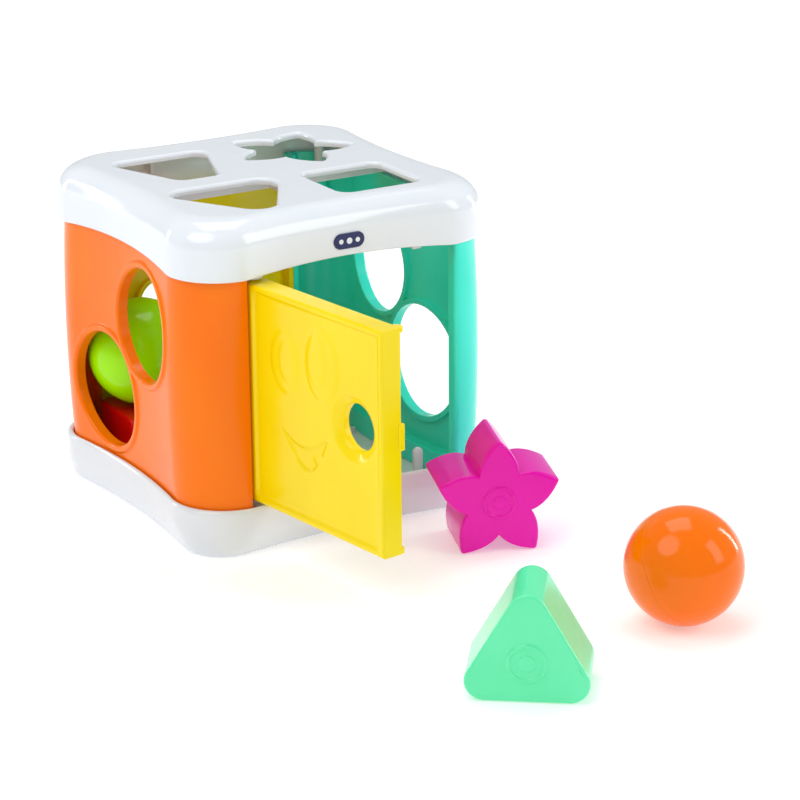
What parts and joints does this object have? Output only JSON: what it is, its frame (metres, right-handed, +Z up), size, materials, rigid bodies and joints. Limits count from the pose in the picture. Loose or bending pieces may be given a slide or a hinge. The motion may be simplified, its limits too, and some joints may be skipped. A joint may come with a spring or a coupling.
{
  "type": "shape sorter",
  "caption": "Moulded plastic shape-sorter cube with a lid of shaped openings, round wall ports, a smiling swing door, shape blocks and play balls.",
  "frame": {"origin": "centre of the base underside, on the ground", "axes": "+Z up, +Y to the back of the cube, +X to the right when facing the door"},
  "size_m": [0.1618, 0.3499, 0.147],
  "materials": {
    "white_shell": "glossy",
    "orange_wall": "satin gloss",
    "teal_wall": "satin gloss",
    "yellow_door": "satin gloss",
    "navy_label": "glossy",
    "screw_steel": "plated",
    "magenta_block": "satin gloss",
    "mint_block": "satin gloss",
    "red_block": "glossy",
    "blue_block": "glossy",
    "orange_ball": "glossy",
    "lime_ball": "glossy"
  },
  "bodies": {
    "cube": {"base": "white_shell", "lid": "white_shell", "left_wall": "orange_wall", "right_wall": "teal_wall", "back_panel": "yellow_door", "badge": "navy_label", "base_screws": "screw_steel"},
    "door": {"door": "yellow_door"},
    "star": {"star_block": "magenta_block", "star_cap": "magenta_block"},
    "triangle": {"triangle_block": "mint_block", "triangle_cap": "mint_block"},
    "square": {"square_block": "red_block", "square_cap": "red_block"},
    "trapezoid": {"trapezoid_block": "blue_block", "trapezoid_cap": "blue_block"},
    "orange_ball": {"orange_ball": "orange_ball"},
    "green_ball": {"green_ball": "lime_ball"}
  },
  "joints": [
    {"name": "door_swing", "type": "hinge", "parent": "cube", "child": "door", "pos_m": [-0.0433, -0.066, 0.0715], "axis": [0, 0, 1], "range_deg": [-8, 82]},
    {"name": "star_push", "type": "slide", "parent": "cube", "child": "star", "axis": [1, 0, 0], "range_m": [-0.006, 0.045]},
    {"name": "triangle_lift", "type": "slide", "parent": "cube", "child": "triangle", "axis": [0, 0, 1], "range_m": [0, 0.12]},
    {"name": "orange_ball_lift", "type": "slide", "parent": "cube", "child": "orange_ball", "axis": [0, 0, 1], "range_m": [0, 0.12]},
    {"name": "square_slide", "type": "slide", "parent": "cube", "child": "square", "axis": [1, 0, 0], "range_m": [0, 0.06]},
    {"name": "trapezoid_slide", "type": "slide", "parent": "cube", "child": "trapezoid", "axis": [1, 0, 0], "range_m": [0, 0.03]},
    {"name": "green_ball_slide", "type": "slide", "parent": "cube", "child": "green_ball", "axis": [0.8, -0.6, 0], "range_m": [0, 0.05]}
  ],
  "couplings": [
    {"joint": "star_push", "follows": "door_swing", "m_per_rad": 0.0285}
  ]
}
